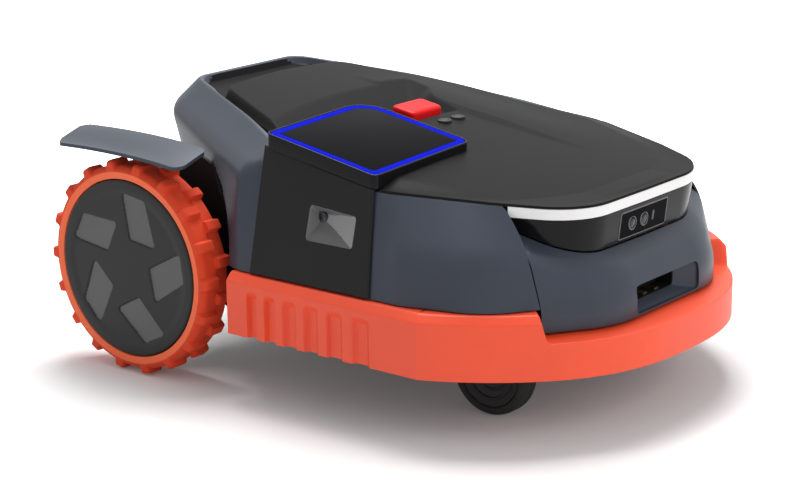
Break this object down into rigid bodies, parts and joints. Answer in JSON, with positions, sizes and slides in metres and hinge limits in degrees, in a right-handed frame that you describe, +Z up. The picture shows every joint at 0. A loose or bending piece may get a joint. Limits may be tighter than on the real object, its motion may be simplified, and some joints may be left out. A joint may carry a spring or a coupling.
{
  "type": "robotic lawn mower",
  "caption": "Self-driving lawn mower with lugged rear drive wheels, trailing casters, a sprung front bumper, camera nose and a height-adjustable disc cutter.",
  "frame": {"origin": "on the ground under the middle of the machine", "axes": "X across the machine with its right side at -X, -Y forward, +Z up"},
  "size_m": [0.554, 0.735, 0.326],
  "materials": {
    "slate_plastic": "satin slate grey moulded plastic",
    "orange_plastic": "satin orange moulded plastic",
    "orange_rubber": "matt red-orange rubber",
    "charcoal_plastic": "fine-grained charcoal plastic",
    "black_plastic": "matt black plastic",
    "gloss_black": "gloss black plastic",
    "grey_plastic": "satin dark grey plastic",
    "red_plastic": "semi-gloss red plastic",
    "white_plastic": "milky translucent plastic",
    "blue_plastic": "translucent blue plastic",
    "lens_glass": "dark polished glass",
    "black_rubber": "matt black rubber",
    "steel": "plain steel",
    "brass": "plain brass contact"
  },
  "bodies": {
    "chassis": {"battery_pack": "black_plastic", "camera_bar": "gloss_black", "camera_lamp": "white_plastic", "camera_lens_left": "lens_glass", "camera_lens_right": "lens_glass", "camera_window": "lens_glass", "charging_contact_left": "brass", "charging_contact_right": "brass", "charging_socket": "black_plastic", "chassis_tub": "black_plastic", "control_box": "grey_plastic", "display_glass": "gloss_black", "display_housing": "gloss_black", "display_light_frame": "blue_plastic", "front_fascia": "slate_plastic", "guide_rod_front": "steel", "guide_rod_rear": "steel", "left_arch_liner": "black_plastic", "left_drive_motor": "black_plastic", "left_mudguard": "slate_plastic", "left_mudguard_bracket": "black_plastic", "lift_motor": "black_plastic", "light_strip": "white_plastic", "right_arch_liner": "black_plastic", "right_drive_motor": "black_plastic", "right_mudguard": "slate_plastic", "right_mudguard_bracket": "black_plastic", "right_side_panel": "grey_plastic", "satellite_antenna": "white_plastic", "side_camera_bezel": "black_plastic", "side_camera_lens": "lens_glass", "top_cover": "charcoal_plastic", "upper_shell": "slate_plastic"},
    "bumper": {"bumper_skirt": "orange_plastic"},
    "stop_button": {"stop_button": "red_plastic"},
    "power_key": {"power_key": "grey_plastic"},
    "menu_key": {"menu_key": "grey_plastic"},
    "cutter_carriage": {"cutter_carriage": "grey_plastic"},
    "lift_screw": {"lift_screw": "steel"},
    "cutter_disc": {"cutter_disc": "black_plastic"},
    "blade_1": {"blade_1": "steel"},
    "blade_2": {"blade_2": "steel"},
    "blade_3": {"blade_3": "steel"},
    "right_wheel": {"right_tyre": "orange_rubber", "right_wheel_rim": "black_plastic", "right_hub_cap": "grey_plastic", "right_axle": "steel"},
    "right_caster_fork": {"right_caster_fork": "black_plastic", "right_caster_axle": "steel"},
    "right_caster_wheel": {"right_caster_wheel": "grey_plastic", "right_caster_tyre": "black_rubber"},
    "left_wheel": {"left_tyre": "orange_rubber", "left_wheel_rim": "black_plastic", "left_hub_cap": "grey_plastic", "left_axle": "steel"},
    "left_caster_fork": {"left_caster_fork": "black_plastic", "left_caster_axle": "steel"},
    "left_caster_wheel": {"left_caster_wheel": "grey_plastic", "left_caster_tyre": "black_rubber"}
  },
  "joints": [
    {"name": "bumper_push", "type": "slide", "parent": "chassis", "child": "bumper", "axis": [0, 1, 0], "range_m": [0, 0.003], "stiffness_N_per_m": 3000},
    {"name": "right_wheel_spin", "type": "hinge", "parent": "chassis", "child": "right_wheel", "pos_m": [-0.277, 0.23809, 0.12941], "axis": [1, 0, 0], "continuous": true},
    {"name": "right_caster_swivel", "type": "hinge", "parent": "chassis", "child": "right_caster_fork", "pos_m": [-0.128, -0.217, 0.11], "axis": [0, 0, 1], "continuous": true},
    {"name": "right_caster_roll", "type": "hinge", "parent": "right_caster_fork", "child": "right_caster_wheel", "pos_m": [-0.128, -0.191, 0.05], "axis": [1, 0, 0], "continuous": true},
    {"name": "left_wheel_spin", "type": "hinge", "parent": "chassis", "child": "left_wheel", "pos_m": [0.277, 0.23809, 0.12941], "axis": [1, 0, 0], "continuous": true},
    {"name": "left_caster_swivel", "type": "hinge", "parent": "chassis", "child": "left_caster_fork", "pos_m": [0.128, -0.217, 0.11], "axis": [0, 0, 1], "continuous": true},
    {"name": "left_caster_roll", "type": "hinge", "parent": "left_caster_fork", "child": "left_caster_wheel", "pos_m": [0.128, -0.191, 0.05], "axis": [1, 0, 0], "continuous": true},
    {"name": "cutter_lift", "type": "slide", "parent": "chassis", "child": "cutter_carriage", "axis": [0, 0, -1], "range_m": [0, 0.03]},
    {"name": "lift_screw_turn", "type": "hinge", "parent": "chassis", "child": "lift_screw", "pos_m": [0.078, 0.012, 0.144], "axis": [0, 0, 1], "range_deg": [0, 725]},
    {"name": "cutter_spin", "type": "hinge", "parent": "cutter_carriage", "child": "cutter_disc", "pos_m": [0, 0.012, 0.062], "axis": [0, 0, 1], "continuous": true},
    {"name": "blade_1_swing", "type": "hinge", "parent": "cutter_disc", "child": "blade_1", "pos_m": [0, 0.104, 0.062], "axis": [0, 0, 1], "continuous": true},
    {"name": "blade_2_swing", "type": "hinge", "parent": "cutter_disc", "child": "blade_2", "pos_m": [-0.07967, -0.034, 0.062], "axis": [0, 0, 1], "continuous": true},
    {"name": "blade_3_swing", "type": "hinge", "parent": "cutter_disc", "child": "blade_3", "pos_m": [0.07967, -0.034, 0.062], "axis": [0, 0, 1], "continuous": true},
    {"name": "stop_press", "type": "slide", "parent": "chassis", "child": "stop_button", "axis": [0, 0, -1], "range_m": [0, 0.004], "stiffness_N_per_m": 1500},
    {"name": "power_press", "type": "slide", "parent": "chassis", "child": "power_key", "axis": [0, 0, -1], "range_m": [0, 0.0012], "stiffness_N_per_m": 800},
    {"name": "menu_press", "type": "slide", "parent": "chassis", "child": "menu_key", "axis": [0, 0, -1], "range_m": [0, 0.0012], "stiffness_N_per_m": 800}
  ],
  "couplings": [
    {"joint": "lift_screw_turn", "follows": "cutter_lift", "rad_per_m": 418.88}
  ]
}
